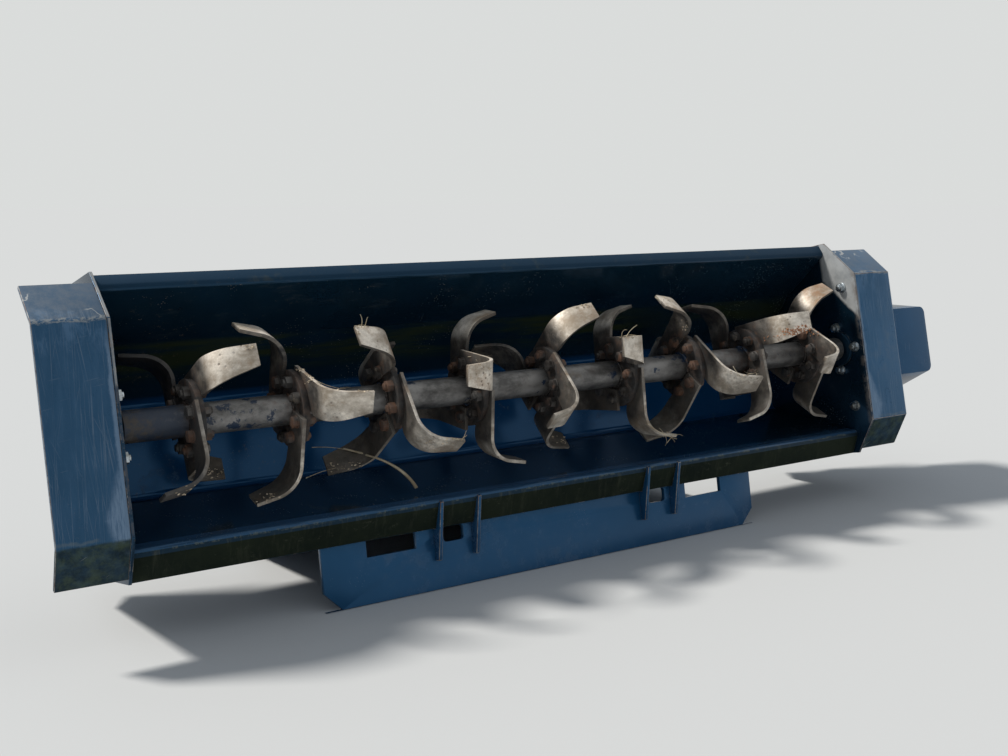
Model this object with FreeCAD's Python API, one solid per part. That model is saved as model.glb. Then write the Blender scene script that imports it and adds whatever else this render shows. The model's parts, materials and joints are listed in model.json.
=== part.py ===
import FreeCAD, Part
# A rotary tiller that a skid-steer loader carries and drives, 72-inch class, sizes in millimetres.
# It is drawn standing on end: x across the rotor, depth (y) from the skids' plane into the hood,
# and run (z) along the skids from their rear fold to the front. It is then laid back until the
# attach plate's ledge and hook both touch the floor, which is how it comes to rest.
import math
import os

# Hood, side plates and skids
inner_width = 1880.0
side_thickness = 6.0
side_proud = 2.0
side_rear = -84.0
side_front = 472.0
side_height = 430.0
side_front_height = 300.0
side_rear_height = 360.0
side_top_front = 380.0
side_top_rear = -10.0
hood_thickness = 6.0
skid_width = 124.0
skid_thickness = 8.0
skid_flat = 378.0
front_ramp_run = 72.0
front_ramp_depth = 68.0
rear_ramp_run = 74.0
rear_ramp_depth = 51.0
skid_bend = 8.0

# The hood's inner face from the front lip to the rear lip: run, depth, bend radius
hood_corners = (
    (468.0, 101.0, 0.0),
    (441.0, 87.0, 6.0),
    (352.0, 235.0, 18.0),
    (239.0, 340.0, 18.0),
    (50.0, 340.0, 18.0),
    (-26.0, 46.0, 8.0),
    (-84.0, 74.0, 0.0),
)

# Rotor
axis_run = 191.0
axis_depth = 78.0
tube_diameter = 60.0
tube_wall_gap = 15.0
shaft_diameter = 40.0
shaft_clearance = 0.3
flange_count = 9
end_flange_gap = 146.4
flange_shift = -4.4
flange_diameter = 152.0
flange_thickness = 12.0

# Angle of each flange's first right-hand tine: that of the middle flange, and the steps from
# flange to flange towards the left and right ends, which make a chevron
tines_per_flange = 4
middle_phase = 35.6
left_phase_step = 39.8
right_phase_step = 49.6

# Tines: a flat shank that passes beside the tube, bolted to the flange, then bent sideways.
# Edges are measured across from the axis. The low one rises again towards the root and the tip
tine_thickness = 7.0
tine_root = -12.0
tine_bend_start = 87.0
tine_bend_radius = 60.0
tine_bend_turn = 78.0
tine_tip_length = 41.0
tine_high_edge = 84.0
tine_low_edge = 20.0
tine_root_edge = 37.0
tine_tip_edge = 44.0

# Bearings at both ends of the rotor: a spigot in the side plate's hole, an eight-sided flange on
# its outer face, and a boss with the bore for the shaft
spigot_diameter = 88.0
spigot_clearance = 0.3
spigot_reach = 8.0
bearing_flange_size = 134.0
bearing_flange_thickness = 14.0
boss_diameter = 92.0
boss_length = 46.0
boss_end_thickness = 8.0
shaft_end_gap = 2.0

# Drive case and motor on the right
case_width = 137.0
case_height = 400.0
case_wall = 6.0
case_corner = 10.0
motor_axis_depth = 176.0
motor_diameter = 118.0
motor_length = 150.0
motor_flange_size = 146.0
motor_flange_thickness = 18.0
motor_cap_size = 84.0
motor_cap_length = 16.0
port_block_width = 44.0
port_block_length = 104.0
port_block_rise = 34.0
port_spacing = 60.0
port_offset = 84.0
adapter_hex = 36.0
adapter_hex_length = 12.0
adapter_diameter = 27.0
adapter_length = 24.0
guard_width = 243.0
guard_front_depth = 95.0
guard_back_depth = 290.0
guard_low_run = 103.0
guard_high_run = 285.0
guard_low_flare = 68.0
guard_high_flare = 40.0
guard_wall = 5.0
guard_corner = 18.0

# Attach plate, bent from one plate, with its hook at the top and its ledge at the bottom
plate_width = 1143.0
plate_thickness = 10.0
plate_face_run = -75.0
plate_bottom_depth = 96.0
plate_height = 422.0
plate_bend = 6.0
hook_reach = 40.0
hook_drop = 40.0
ledge_depth = 134.0
ledge_rise = 6.0
ledge_corner = 36.0

# Openings in the ledge for the loader's locking pins, mirrored: centre x, width, far run,
# near run, corner radius
ledge_openings = (
    (418.0, 112.0, -118.0, -84.0, 0.0),
    (274.0, 49.0, -116.0, -84.0, 8.0),
)

# Ribs behind the hood and gussets over the ledge, mirrored
rib_places = (227.0, 317.0)
rib_thickness = 8.0
rib_hood_run = 190.0
rib_top_gap = 26.0
gusset_top = (-30.0, 40.0)
gusset_foot_run = -150.0
gusset_foot_height = 14.0

# Ribs that carry the left skid: run, depth
skid_rib_places = (24.0, 340.0)
skid_rib_depth = 92.0
skid_rib_tip = 26.0


def at(x, depth, run):
    return FreeCAD.Vector(x, depth, run)


def unit(start, end):
    length = math.dist(start, end)
    return ((end[0] - start[0]) / length, (end[1] - start[1]) / length)


def offset_path(points, distance):
    """The parallel of an open path of (run, depth) points, on its left side, with sharp corners."""
    moved = []
    for i, point in enumerate(points):
        before = unit(points[i - 1], point) if i > 0 else unit(point, points[i + 1])
        after = unit(point, points[i + 1]) if i < len(points) - 1 else before
        normal = (-before[1] - after[1], before[0] + after[0])
        scale = distance / (1 + before[0] * after[0] + before[1] * after[1])
        moved.append((point[0] + normal[0] * scale, point[1] + normal[1] * scale))
    return moved


def rounded_path(points, radii, x):
    """Straight edges through (run, depth) points at x, with a tangent arc at each bend."""
    edges = []
    last = points[0]
    for i in range(1, len(points) - 1):
        before = unit(points[i - 1], points[i])
        after = unit(points[i], points[i + 1])
        turn = math.acos(max(-1.0, min(1.0, before[0] * after[0] + before[1] * after[1])))
        trim = radii[i] * math.tan(turn / 2)
        start = (points[i][0] - before[0] * trim, points[i][1] - before[1] * trim)
        end = (points[i][0] + after[0] * trim, points[i][1] + after[1] * trim)
        inward = unit(points[i], ((start[0] + end[0]) / 2, (start[1] + end[1]) / 2))
        sagitta = radii[i] * (1 / math.cos(turn / 2) - 1)
        middle = (points[i][0] + inward[0] * sagitta, points[i][1] + inward[1] * sagitta)
        edges.append(Part.LineSegment(at(x, last[1], last[0]), at(x, start[1], start[0])).toShape())
        arc = Part.Arc(at(x, start[1], start[0]), at(x, middle[1], middle[0]), at(x, end[1], end[0]))
        edges.append(arc.toShape())
        last = end
    edges.append(Part.LineSegment(at(x, last[1], last[0]), at(x, points[-1][1], points[-1][0])).toShape())
    return edges


def bent_plate(points, bends, thickness, x_low, x_high):
    """A bent sheet: its inner face follows the points, and its thickness is on their left."""
    outer = offset_path(points, thickness)
    inner_radii = []
    outer_radii = []
    for i, bend in enumerate(bends):
        left_turn = False
        if 0 < i < len(points) - 1:
            before = unit(points[i - 1], points[i])
            after = unit(points[i], points[i + 1])
            left_turn = before[0] * after[1] - before[1] * after[0] > 0
        inner_radii.append(bend + thickness if left_turn else bend)
        outer_radii.append(bend if left_turn else bend + thickness)
    near = rounded_path(points, inner_radii, x_low)
    far = rounded_path(outer, outer_radii, x_low)
    start = Part.LineSegment(at(x_low, points[0][1], points[0][0]), at(x_low, outer[0][1], outer[0][0]))
    end = Part.LineSegment(at(x_low, points[-1][1], points[-1][0]), at(x_low, outer[-1][1], outer[-1][0]))
    wire = Part.Wire(Part.__sortEdges__(near + far + [start.toShape(), end.toShape()]))
    return Part.Face(wire).extrude(FreeCAD.Vector(x_high - x_low, 0, 0))


def flat_plate(points, x_low, x_high):
    """A flat plate between two x, with a closed outline of (run, depth) points."""
    corners = [at(x_low, depth, run) for run, depth in points]
    face = Part.Face(Part.makePolygon(corners + corners[:1]))
    return face.extrude(FreeCAD.Vector(x_high - x_low, 0, 0))


def x_cylinder(diameter, x_low, x_high, depth=axis_depth, run=axis_run):
    return Part.makeCylinder(diameter / 2, x_high - x_low, at(x_low, depth, run), FreeCAD.Vector(1, 0, 0))


def x_octagon(across_flats, x_low, x_high, depth=axis_depth, run=axis_run):
    """An eight-sided prism along x, with flats facing along depth and run."""
    radius = across_flats / 2 / math.cos(math.pi / 8)
    turns = [math.pi / 8 + k * math.pi / 4 for k in range(8)]
    outline = [(run + radius * math.cos(turn), depth + radius * math.sin(turn)) for turn in turns]
    return flat_plate(outline, x_low, x_high)


def block(x_low, x_high, depth_low, depth_high, run_low, run_high):
    size = (x_high - x_low, depth_high - depth_low, run_high - run_low)
    return Part.makeBox(*size, at(x_low, depth_low, run_low))


def mirrored(shape):
    return shape.mirror(FreeCAD.Vector(0, 0, 0), FreeCAD.Vector(1, 0, 0))


inner_half = inner_width / 2
plate_outer = inner_half + side_thickness
skid_outer = plate_outer + skid_width
case_outer = plate_outer + case_width
skid_points = (
    (-rear_ramp_run, rear_ramp_depth),
    (0.0, 0.0),
    (skid_flat, 0.0),
    (skid_flat + front_ramp_run, front_ramp_depth),
)
hood_inner = [(run, depth) for run, depth, bend in hood_corners]
hood_outer = offset_path(hood_inner, -hood_thickness)


def hood_shell():
    bends = [bend for run, depth, bend in hood_corners]
    reverse_inner = list(reversed(hood_inner))
    return bent_plate(reverse_inner, list(reversed(bends)), hood_thickness, -inner_half, inner_half)


def side_outline():
    """The side plate follows the skid, stands proud of it, and rises past the hood's top."""
    proud = offset_path(skid_points, -side_proud)
    rear_slope = rear_ramp_depth / rear_ramp_run
    front_slope = front_ramp_depth / front_ramp_run
    rear_depth = proud[1][1] + (proud[1][0] - side_rear) * rear_slope
    front_depth = proud[2][1] + (side_front - proud[2][0]) * front_slope
    return [
        (side_rear, rear_depth),
        proud[1],
        proud[2],
        (side_front, front_depth),
        (side_front, side_front_height),
        (side_top_front, side_height),
        (side_top_rear, side_height),
        (side_rear, side_rear_height),
    ]


def side_plate_right():
    plate = flat_plate(side_outline(), inner_half, plate_outer)
    hole_diameter = spigot_diameter + 2 * spigot_clearance
    return plate.cut(x_cylinder(hole_diameter, inner_half - 1, plate_outer + 1))


def left_skid():
    bends = [0.0, skid_bend, skid_bend, 0.0]
    return bent_plate(skid_points, bends, skid_thickness, -skid_outer, -plate_outer)


def left_skid_ribs():
    ribs = []
    for run in skid_rib_places:
        corners = (
            at(-plate_outer, skid_thickness, run),
            at(-skid_outer + skid_rib_tip, skid_thickness, run),
            at(-plate_outer, skid_rib_depth, run),
        )
        face = Part.Face(Part.makePolygon(list(corners) + [corners[0]]))
        ribs.append(face.extrude(FreeCAD.Vector(0, 0, rib_thickness)))
    return Part.Compound(ribs)


def bearing_right():
    spigot = x_cylinder(spigot_diameter, inner_half - spigot_reach, plate_outer)
    flange = x_octagon(bearing_flange_size, plate_outer, plate_outer + bearing_flange_thickness)
    boss = x_cylinder(boss_diameter, plate_outer, plate_outer + boss_length)
    bore_start = inner_half - spigot_reach - 1
    bore_end = plate_outer + boss_length - boss_end_thickness
    bore = x_cylinder(shaft_diameter + 2 * shaft_clearance, bore_start, bore_end)
    return spigot.fuse([flange, boss]).removeSplitter().cut(bore)


def drive_case():
    """A pan over the drive, open towards the side plate, whose front is the right skid."""
    outline = list(skid_points) + [
        (skid_flat + front_ramp_run, case_height * 0.6),
        (skid_flat, case_height),
        (0.0, case_height),
        (-rear_ramp_run, case_height * 0.75),
    ]
    pan = flat_plate(outline, plate_outer, case_outer)
    rim = [edge for edge in pan.Edges if edge.BoundBox.XMin > case_outer - 1]
    pan = pan.makeFillet(case_corner, rim)
    closed = outline + outline[:1]
    inside = offset_path([outline[-1]] + closed + [outline[1]], case_wall)[1:-2]
    hollow = flat_plate(inside, plate_outer - 1, case_outer - case_wall)
    return pan.cut(hollow)


def hydraulic_motor():
    foot = case_outer
    half = motor_flange_size / 2
    flange = block(foot, foot + motor_flange_thickness, motor_axis_depth - half, motor_axis_depth + half,
                   axis_run - half, axis_run + half)
    edges = [edge for edge in flange.Edges if abs(edge.tangentAt(edge.FirstParameter).x) > 0.9]
    flange = flange.makeChamfer(half / 4, edges)
    body_start = foot + motor_flange_thickness
    body_end = body_start + motor_length
    body = x_cylinder(motor_diameter, body_start, body_end, motor_axis_depth)
    cap = x_octagon(motor_cap_size, body_end, body_end + motor_cap_length, motor_axis_depth)
    port_face = motor_axis_depth + motor_diameter / 2 + port_block_rise
    port_x = foot + port_offset
    ports = block(port_x - port_block_width / 2, port_x + port_block_width / 2, motor_axis_depth, port_face,
                  axis_run - port_block_length / 2, axis_run + port_block_length / 2)
    motor = flange.fuse([body, cap, ports])
    outward = FreeCAD.Vector(0, 1, 0)
    for sign in (-1, 1):
        base = at(port_x, port_face, axis_run + sign * port_spacing / 2)
        hexagon = [base + FreeCAD.Vector(math.cos(math.radians(angle)), 0, math.sin(math.radians(angle)))
                   * (adapter_hex / math.sqrt(3)) for angle in range(0, 420, 60)]
        hex_body = Part.Face(Part.makePolygon(hexagon)).extrude(outward * adapter_hex_length)
        adapter = Part.makeCylinder(adapter_diameter / 2, adapter_length,
                                    base + outward * adapter_hex_length, outward)
        motor = motor.fuse([hex_body, adapter])
    return motor.removeSplitter()


def guard_outline(wall):
    """The motor guard's section of (run, depth), wider at its open back, or with a wall its hollow."""
    slope_run = guard_back_depth - guard_front_depth
    low_slope = guard_low_flare / slope_run
    high_slope = guard_high_flare / slope_run
    front = guard_front_depth + wall
    back = guard_back_depth + (1 if wall else 0)
    low_wall = wall * math.hypot(1, low_slope)
    high_wall = wall * math.hypot(1, high_slope)
    outline = []
    for depth, sides in ((front, ("low", "high")), (back, ("high", "low"))):
        grown = depth - guard_front_depth
        for side in sides:
            low = guard_low_run + low_wall - low_slope * grown
            high = guard_high_run - high_wall + high_slope * grown
            outline.append((low if side == "low" else high, depth))
    return outline


def motor_guard():
    x_outer = case_outer + guard_width
    outer = flat_plate(guard_outline(0.0), case_outer, x_outer)
    long_edges = [edge for edge in outer.Edges
                  if edge.BoundBox.XMin > x_outer - 1 and edge.BoundBox.YLength > 1]
    outer = outer.makeFillet(guard_corner, long_edges)
    return outer.cut(flat_plate(guard_outline(guard_wall), case_outer - 1, x_outer - guard_wall))


def plate_path():
    """The attach plate's loader side, from the hook's tip over the plate to the ledge's tip."""
    top = plate_bottom_depth + plate_height
    return [
        (plate_face_run - hook_reach, top - hook_drop),
        (plate_face_run, top),
        (plate_face_run, plate_bottom_depth),
        (plate_face_run - ledge_depth, plate_bottom_depth + ledge_rise),
    ]


def ledge_depth_at(run):
    """Depth of the ledge's outer face, the one away from the loader, at a run."""
    outer = offset_path(plate_path(), plate_thickness)
    start, end = outer[2], outer[3]
    return start[1] + (end[1] - start[1]) * (run - start[0]) / (end[0] - start[0])


def attach_plate():
    bends = [0.0, plate_bend, plate_bend, 0.0]
    half = plate_width / 2
    plate = bent_plate(plate_path(), bends, plate_thickness, -half, half)
    tip_run = plate_face_run - ledge_depth
    low, high = plate_bottom_depth - 4 * plate_thickness, plate_bottom_depth + 2 * plate_thickness
    for sign in (-1, 1):
        corner = [at(sign * half, low, tip_run), at(sign * (half - ledge_corner), low, tip_run),
                  at(sign * half, low, tip_run + ledge_corner)]
        face = Part.Face(Part.makePolygon(corner + corner[:1]))
        plate = plate.cut(face.extrude(FreeCAD.Vector(0, high - low, 0)))
        for centre, width, far_run, near_run, corner_radius in ledge_openings:
            x_low = sign * centre - width / 2
            hole = block(x_low, x_low + width, low, high, far_run, near_run)
            if corner_radius > 0:
                edges = [edge for edge in hole.Edges if edge.BoundBox.YLength > 1]
                hole = hole.makeFillet(corner_radius, edges)
            plate = plate.cut(hole)
    return plate


def hitch_ribs():
    """Ribs that carry the attach plate on the hood's rear wall and top."""
    top_corner = hood_outer[4]
    low_corner = hood_outer[5]
    plate_inside = plate_face_run + plate_thickness
    foot_depth = plate_bottom_depth + 2 * plate_thickness
    share = (foot_depth - top_corner[1]) / (low_corner[1] - top_corner[1])
    foot_run = top_corner[0] + (low_corner[0] - top_corner[0]) * share
    outline = [
        (plate_inside, foot_depth),
        (foot_run, foot_depth),
        top_corner,
        (rib_hood_run, hood_outer[4][1]),
        (rib_hood_run, hood_outer[4][1] + rib_top_gap),
        (plate_inside + rib_top_gap, plate_bottom_depth + plate_height - rib_top_gap),
        (plate_inside, plate_bottom_depth + plate_height - rib_top_gap),
    ]
    ribs = []
    for place in rib_places:
        rib = flat_plate(outline, place - rib_thickness / 2, place + rib_thickness / 2)
        ribs += [rib, mirrored(rib)]
    return Part.Compound(ribs)


def ledge_gussets():
    """Gussets from the hood's rear lip over its face to the ledge, one on each side of a pin slot."""
    lip_fold = hood_inner[5]
    lip_edge = hood_inner[6]
    outline = [
        gusset_top,
        lip_fold,
        lip_edge,
        (lip_edge[0], ledge_depth_at(lip_edge[0])),
        (gusset_foot_run, ledge_depth_at(gusset_foot_run)),
        (gusset_foot_run, ledge_depth_at(gusset_foot_run) - gusset_foot_height),
    ]
    gussets = []
    for place in rib_places:
        gusset = flat_plate(outline, place - rib_thickness / 2, place + rib_thickness / 2)
        gussets += [gusset, mirrored(gusset)]
    return Part.Compound(gussets)


def rotor_tube():
    half = inner_half - tube_wall_gap
    return x_cylinder(tube_diameter, -half, half)


def stub_shafts():
    start = inner_half - tube_wall_gap
    end = plate_outer + boss_length - boss_end_thickness - shaft_end_gap
    right = x_cylinder(shaft_diameter, start, end)
    return Part.Compound([right, mirrored(right)])


def flange_x(index):
    spacing = (inner_width - 2 * end_flange_gap) / (flange_count - 1)
    return (index - (flange_count - 1) / 2) * spacing + flange_shift


def rotor_flanges():
    discs = []
    for index in range(flange_count):
        x = flange_x(index)
        disc = x_cylinder(flange_diameter, x - flange_thickness / 2, x + flange_thickness / 2)
        discs.append(disc.cut(x_cylinder(tube_diameter, x - flange_thickness, x + flange_thickness)))
    return Part.Compound(discs)


def tine_stations(inset):
    """Points (side, out) along a tine's profile at root, bend start, mid-bend, bend end and tip.

    Side is the distance from the flange's middle plane and out is along the shank from the axis.
    The inset is 0 on the outer face of the bend and the thickness on its inner face.
    """
    start = flange_thickness / 2
    radius = tine_bend_radius - inset
    stations = [(start + inset, tine_root)]
    for share in (0.0, 0.5, 1.0):
        turned = math.radians(tine_bend_turn * share)
        stations.append((start + tine_bend_radius - radius * math.cos(turned),
                         tine_bend_start + radius * math.sin(turned)))
    turn = math.radians(tine_bend_turn)
    side, out = stations[-1]
    stations.append((side + tine_tip_length * math.sin(turn), out + tine_tip_length * math.cos(turn)))
    return stations


def tine():
    """One right-hand tine at phase 0, its shank along -y from the axis and its tip turned to +x."""
    low = tine_low_edge
    outer = tine_stations(0.0)
    inner = tine_stations(tine_thickness)
    profile = []
    for stations in (outer, inner):
        place = [FreeCAD.Vector(side, -out, low) for side, out in stations]
        profile.append(Part.LineSegment(place[0], place[1]).toShape())
        profile.append(Part.Arc(place[1], place[2], place[3]).toShape())
        profile.append(Part.LineSegment(place[3], place[4]).toShape())
    for i in (0, 4):
        ends = [FreeCAD.Vector(side, -out, low) for side, out in (outer[i], inner[i])]
        profile.append(Part.LineSegment(ends[0], ends[1]).toShape())
    bent = Part.Face(Part.Wire(Part.__sortEdges__(profile)))
    bent = bent.extrude(FreeCAD.Vector(0, 0, tine_high_edge - low))
    root, start, tip = outer[0], outer[1], outer[4]
    inner_start = inner[1][0]
    beyond = tip[0] + tine_thickness
    # What is cut away beside the root is a wedge through x, and beside the tip a wedge through y
    root_corners = [FreeCAD.Vector(0, -root[1], low), FreeCAD.Vector(0, -start[1], low),
                    FreeCAD.Vector(0, -root[1], tine_root_edge)]
    tip_corners = [FreeCAD.Vector(inner_start, 0, low), FreeCAD.Vector(beyond, 0, low),
                   FreeCAD.Vector(beyond, 0, tine_tip_edge)]
    root_wedge = Part.Face(Part.makePolygon(root_corners + root_corners[:1]))
    tip_wedge = Part.Face(Part.makePolygon(tip_corners + tip_corners[:1]))
    bent = bent.cut(root_wedge.extrude(FreeCAD.Vector(beyond, 0, 0)))
    bent = bent.cut(tip_wedge.extrude(FreeCAD.Vector(0, -2 * tip[1], 0)))
    return bent.removeSplitter().Solids[0]


def flange_phase(index):
    """Angle of a flange's first right-hand tine, in a chevron about the middle flange."""
    place = index - (flange_count - 1) / 2
    step = left_phase_step if place < 0 else right_phase_step
    return middle_phase + step * abs(place)


def tine_set(index, right_hand, left_hand):
    """The tines of one flange: right-hand and left-hand ones in turn, a quarter turn apart."""
    placed = []
    for k in range(tines_per_flange):
        blade = (right_hand if k % 2 == 0 else left_hand).copy()
        angle = flange_phase(index) + k * 360.0 / tines_per_flange
        blade.rotate(FreeCAD.Vector(0, 0, 0), FreeCAD.Vector(1, 0, 0), -angle)
        blade.translate(at(flange_x(index), axis_depth, axis_run))
        placed.append(blade)
    return Part.Compound(placed)


def tiller():
    side = side_plate_right()
    bearing = bearing_right()
    right_hand = tine()
    left_hand = mirrored(right_hand)
    pieces = {
        "hood_shell": hood_shell(),
        "side_plate_left": mirrored(side),
        "side_plate_right": side,
        "left_skid": left_skid(),
        "left_skid_ribs": left_skid_ribs(),
        "bearing_left": mirrored(bearing),
        "bearing_right": bearing,
        "drive_case": drive_case(),
        "hydraulic_motor": hydraulic_motor(),
        "motor_guard": motor_guard(),
        "attach_plate": attach_plate(),
        "hitch_ribs": hitch_ribs(),
        "ledge_gussets": ledge_gussets(),
        "rotor_tube": rotor_tube(),
        "stub_shafts": stub_shafts(),
        "rotor_flanges": rotor_flanges(),
    }
    for index in range(flange_count):
        pieces["tines_" + str(index + 1)] = tine_set(index, right_hand, left_hand)
    return pieces


def laid_down(pieces):
    """Lay the tiller back on the ledge's tip and the hook's tip, with the origin under its middle."""
    outer = offset_path(plate_path(), plate_thickness)
    inner_ledge = plate_path()[3]
    hook_tip = outer[0]
    lean = math.degrees(math.atan2(hook_tip[0] - inner_ledge[0], hook_tip[1] - inner_ledge[1]))
    for shape in pieces.values():
        shape.rotate(FreeCAD.Vector(0, 0, 0), FreeCAD.Vector(1, 0, 0), -lean)
    box = Part.Compound(list(pieces.values())).optimalBoundingBox(False)
    shift = FreeCAD.Vector(-(box.XMin + box.XMax) / 2, -(box.YMin + box.YMax) / 2, -box.ZMin)
    for shape in pieces.values():
        shape.translate(shift)
    return lean, shift


def main():
    os.makedirs("parts", exist_ok=True)
    pieces = tiller()
    lean, shift = laid_down(pieces)
    for name, shape in pieces.items():
        shape.exportStep("parts/" + name + ".step")
        solids = len(shape.Solids)
        print(name, solids, "solids", round(shape.Volume / 1e6, 3), "litres", "valid", shape.isValid())
    turn = FreeCAD.Rotation(FreeCAD.Vector(1, 0, 0), -lean)
    axis_point = turn.multVec(at(0, axis_depth, axis_run)) + shift
    print("lean", lean, "shift", shift, "axis", axis_point)


main()
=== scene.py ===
import json
import math
import random

import bmesh
import bpy
from mathutils import Matrix, Vector
from mathutils.bvhtree import BVHTree


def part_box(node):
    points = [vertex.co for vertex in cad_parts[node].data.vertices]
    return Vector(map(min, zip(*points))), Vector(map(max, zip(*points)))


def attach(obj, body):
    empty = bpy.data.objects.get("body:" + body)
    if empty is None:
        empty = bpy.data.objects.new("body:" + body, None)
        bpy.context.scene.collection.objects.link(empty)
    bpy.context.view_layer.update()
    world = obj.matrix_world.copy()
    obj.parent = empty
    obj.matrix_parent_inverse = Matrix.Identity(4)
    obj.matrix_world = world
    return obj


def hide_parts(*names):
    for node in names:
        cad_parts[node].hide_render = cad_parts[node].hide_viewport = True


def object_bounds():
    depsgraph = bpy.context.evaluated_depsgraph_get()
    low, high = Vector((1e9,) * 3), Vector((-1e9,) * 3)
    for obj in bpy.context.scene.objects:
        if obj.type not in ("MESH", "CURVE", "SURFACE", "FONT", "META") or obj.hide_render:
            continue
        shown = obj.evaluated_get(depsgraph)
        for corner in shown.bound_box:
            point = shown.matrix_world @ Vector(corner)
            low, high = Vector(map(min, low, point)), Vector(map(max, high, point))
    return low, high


# The frame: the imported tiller. It lies on the ledge and the hook of its attach plate with the open
# side of the hood towards the viewer, so its own directions lean against those of the floor.
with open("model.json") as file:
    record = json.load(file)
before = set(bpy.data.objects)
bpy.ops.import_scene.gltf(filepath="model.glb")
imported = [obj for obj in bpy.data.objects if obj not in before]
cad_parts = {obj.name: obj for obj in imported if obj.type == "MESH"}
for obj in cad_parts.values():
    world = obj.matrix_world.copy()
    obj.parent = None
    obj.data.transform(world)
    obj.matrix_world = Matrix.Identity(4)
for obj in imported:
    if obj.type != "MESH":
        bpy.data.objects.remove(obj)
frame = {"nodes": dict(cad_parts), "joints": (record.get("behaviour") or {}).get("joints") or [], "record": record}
cad_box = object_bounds()
mounts = {mount["name"]: mount for mount in frame["record"]["mounts"]}
rotor_axis = Vector(frame["joints"][0]["pos_m"])
into_hood = Vector(mounts["motor_port_low"]["axis"])
along_skid = -Vector(mounts["attach_plate"]["axis"])
lean = math.atan2(-into_hood.z, into_hood.y)
hood_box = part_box("hood_shell")
middle_x = (hood_box[0][0] + hood_box[1][0]) / 2
axis_depth = 0.078
axis_run = 0.191


def place(x, depth, run):
    """A point of the tiller given as it is drawn, in metres: x across from its middle,
    depth into the hood from the skids' plane, and run along the skids."""
    level = Vector((middle_x + x, rotor_axis.y, rotor_axis.z))
    return level + into_hood * (depth - axis_depth) + along_skid * (run - axis_run)


# The view: a camera that stands in front of the tiller on its left and looks a little down. Its
# place and its lens were fitted to the tiller's straight edges.
view_lens = 41.9
view_place = (-1.5981, -2.1799, 0.8166)
view_tilt = math.radians(80.731)
view_heading = math.radians(-33.203)
camera_data = bpy.data.cameras.new("view")
camera_data.lens = view_lens
camera_data.sensor_width = 36.0
camera_data.clip_end = 60.0
camera = bpy.data.objects.new("view", camera_data)
camera.location = view_place
camera.rotation_euler = (view_tilt, 0, view_heading)
bpy.context.scene.collection.objects.link(camera)
bpy.context.scene.camera = camera
bpy.context.scene.view_settings.view_transform = "Standard"

# The studio: a pale floor, a high soft key lamp at the back on the left, and even light from all
# round. The background has the lit floor's own tone, so that no horizon shows.
floor_width = 90.0
floor_grey = (0.62, 0.625, 0.62, 1)
background_grey = (0.702, 0.7175, 0.71, 1)
fill_colour = (0.82, 0.9, 1.0, 1)
fill_strength = 0.42
key_strength = 3.2
key_softness = math.radians(9)
key_colour = (1.0, 0.97, 0.92)
key_heading = Vector((150, -112, -229))

bpy.ops.mesh.primitive_plane_add(size=1.0, location=(0, 0, 0))
floor = bpy.context.object
floor.name = "floor"
bpy.ops.object.mode_set(mode="EDIT")
bpy.ops.transform.resize(value=(floor_width, floor_width, 1))
bpy.ops.mesh.subdivide(number_cuts=1)
bpy.ops.object.mode_set(mode="OBJECT")
floor_finish = bpy.data.materials.new("pale_floor")
floor_finish.use_nodes = True
floor_shader = floor_finish.node_tree.nodes["Principled BSDF"]
floor_shader.inputs["Base Color"].default_value = floor_grey
floor_shader.inputs["Roughness"].default_value = 0.95
floor_shader.inputs["Specular IOR Level"].default_value = 0.0
floor.data.materials.append(floor_finish)

world = bpy.data.worlds.new("studio")
bpy.context.scene.world = world
world.use_nodes = True
sky = world.node_tree
light_path = sky.nodes.new("ShaderNodeLightPath")
seen = sky.nodes.new("ShaderNodeBackground")
seen.inputs["Color"].default_value = background_grey
fill = sky.nodes["Background"]
fill.inputs["Color"].default_value = fill_colour
fill.inputs["Strength"].default_value = fill_strength
last = light_path.outputs["Is Camera Ray"]
for kind in ("Is Glossy Ray", "Is Transmission Ray"):
    either = sky.nodes.new("ShaderNodeMath")
    either.operation = "MAXIMUM"
    sky.links.new(last, either.inputs[0])
    sky.links.new(light_path.outputs[kind], either.inputs[1])
    last = either.outputs[0]
choose = sky.nodes.new("ShaderNodeMixShader")
sky.links.new(last, choose.inputs["Fac"])
sky.links.new(fill.outputs["Background"], choose.inputs[1])
sky.links.new(seen.outputs["Background"], choose.inputs[2])
sky.links.new(choose.outputs["Shader"], sky.nodes["World Output"].inputs["Surface"])

key_data = bpy.data.lights.new("key_lamp", "SUN")
key_data.energy = key_strength
key_data.angle = key_softness
key_data.color = key_colour
key_lamp = bpy.data.objects.new("key_lamp", key_data)
key_lamp.rotation_euler = key_heading.to_track_quat("-Z", "Y").to_euler()
bpy.context.scene.collection.objects.link(key_lamp)

# Hood: one long sheet, bent five times and open at the front, under glossy black powder coat that
# looks blue in open light; inside, more navy is painted into it as a sky reflection. Soil has dried on in specks
# and smears, and dust lies on its lips.
hood_edge_break = 0.0012
back_panel_depth = 0.33
slant_panel_run = 0.295
rim_run = 0.44
nose_run = -0.016
lip_run = -0.031
coat_bump = 0.0003
coat_tint = (0.24, 0.55, 1.0, 1)
coat_ior = 1.58
dry_soil = (0.21, 0.165, 0.115, 1)
grey_dust = (0.2, 0.195, 0.175, 1)
# The coat's navy cast is a painted sky reflection on black paint.
deep_black = (0.0022, 0.0085, 0.0155, 1)
bright_black = (0.0036, 0.0135, 0.0245, 1)
outer_black = (0.0045, 0.0085, 0.0145, 1)
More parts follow.
